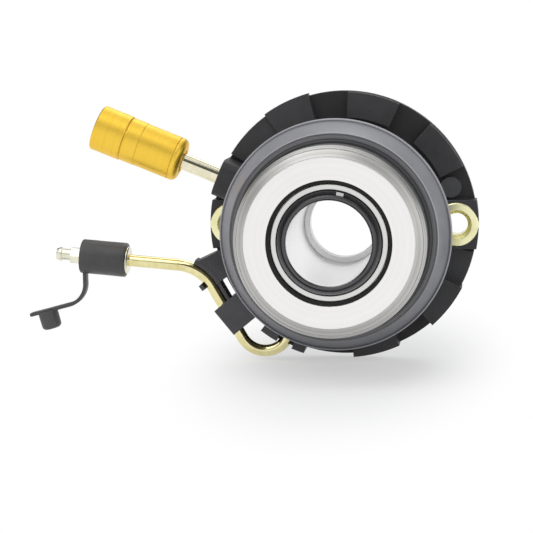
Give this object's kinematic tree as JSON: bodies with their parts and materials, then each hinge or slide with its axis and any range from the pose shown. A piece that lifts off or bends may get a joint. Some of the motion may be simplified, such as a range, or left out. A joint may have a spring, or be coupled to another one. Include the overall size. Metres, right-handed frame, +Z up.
{
  "type": "concentric slave cylinder",
  "caption": "Hydraulic clutch release unit for a gearbox input shaft: flanged plastic cylinder with bellows and release bearing, supply line with quick coupling, bleed line with capped screw.",
  "frame": {"origin": "centre of the bore on the rear mounting face, midway between the two bolt holes", "axes": "+Y along the bore towards the gearbox, -Y towards the clutch and the bearing's contact face, +X through the bolt holes away from the lines, +Z up as in the picture"},
  "size_m": [0.1842, 0.072, 0.1073],
  "materials": {
    "housing_nylon": "moulded, slightly glossy black glass-filled nylon",
    "sleeve_steel": "ground bore, turned end",
    "rubber_black": "black nitrile rubber",
    "zinc_yellow": "yellow zinc plated steel",
    "pin_steel": "spring steel",
    "cap_rubber": "soft black rubber",
    "gold_anodised": "gold anodised aluminium, satin",
    "coupling_steel": "plain steel",
    "stop_ring_steel": "blackened spring steel",
    "boot_rubber": "grey satin rubber",
    "piston_nylon": "dark grey moulded nylon",
    "bearing_steel": "turned and ground bearing steel",
    "cage_brass": "pressed brass"
  },
  "bodies": {
    "housing": {"housing": "housing_nylon", "guide_sleeve": "sleeve_steel", "sleeve_oring": "rubber_black", "left_bushing": "zinc_yellow", "right_bushing": "zinc_yellow", "supply_tube": "zinc_yellow", "supply_tube_oring": "rubber_black", "supply_roll_pin": "pin_steel", "bleed_tube": "zinc_yellow", "bleed_tube_oring": "rubber_black", "bleed_roll_pin": "pin_steel", "bleed_adaptor": "zinc_yellow", "bleed_dust_cap": "cap_rubber", "coupling_body": "gold_anodised", "coupling_collar": "gold_anodised", "coupling_seal": "rubber_black", "coupling_retaining_ring": "pin_steel", "coupling_spring": "pin_steel", "piston_stop_ring": "stop_ring_steel", "preload_spring": "pin_steel"},
    "piston": {"piston": "piston_nylon", "piston_seal": "rubber_black", "bearing_carrier": "piston_nylon", "bearing_inner_race": "bearing_steel", "bearing_retainer": "pin_steel", "dust_boot": "boot_rubber"},
    "rotor": {"bearing_outer_race": "bearing_steel", "bearing_front_seal": "rubber_black", "bearing_rear_shield": "bearing_steel"},
    "cage": {"bearing_cage": "cage_brass", "bearing_balls": "bearing_steel"},
    "bleed_screw": {"bleed_screw": "zinc_yellow"},
    "release_sleeve": {"coupling_release_sleeve": "coupling_steel"},
    "poppet": {"coupling_poppet": "coupling_steel"}
  },
  "joints": [
    {"name": "piston_slide", "type": "slide", "parent": "housing", "child": "piston", "axis": [0, 1, 0], "range_m": [0, 0.012], "stiffness_N_per_m": 2000, "springref_m": -0.02, "deforming": ["preload_spring", "dust_boot"]},
    {"name": "bearing_spin", "type": "hinge", "parent": "piston", "child": "rotor", "pos_m": [0, -0.064, 0], "axis": [0, -1, 0], "continuous": true},
    {"name": "cage_spin", "type": "hinge", "parent": "piston", "child": "cage", "pos_m": [0, -0.064, 0], "axis": [0, -1, 0], "continuous": true},
    {"name": "bleed_screw_turn", "type": "hinge", "parent": "housing", "child": "bleed_screw", "pos_m": [-0.08844, -0.014, -0.01438], "axis": [-0.9962, 0, 0.0872], "range_deg": [0, 360]},
    {"name": "release_sleeve_push", "type": "slide", "parent": "housing", "child": "release_sleeve", "axis": [0.9272, 0, -0.3746], "range_m": [0, 0.002], "stiffness_N_per_m": 300, "springref_m": -0.004},
    {"name": "poppet_open", "type": "slide", "parent": "housing", "child": "poppet", "axis": [0.9272, 0, -0.3746], "range_m": [0, 0.003], "stiffness_N_per_m": 400, "springref_m": -0.005, "deforming": ["coupling_spring"]}
  ],
  "couplings": [
    {"joint": "cage_spin", "follows": "bearing_spin", "ratio": 0.5434}
  ]
}
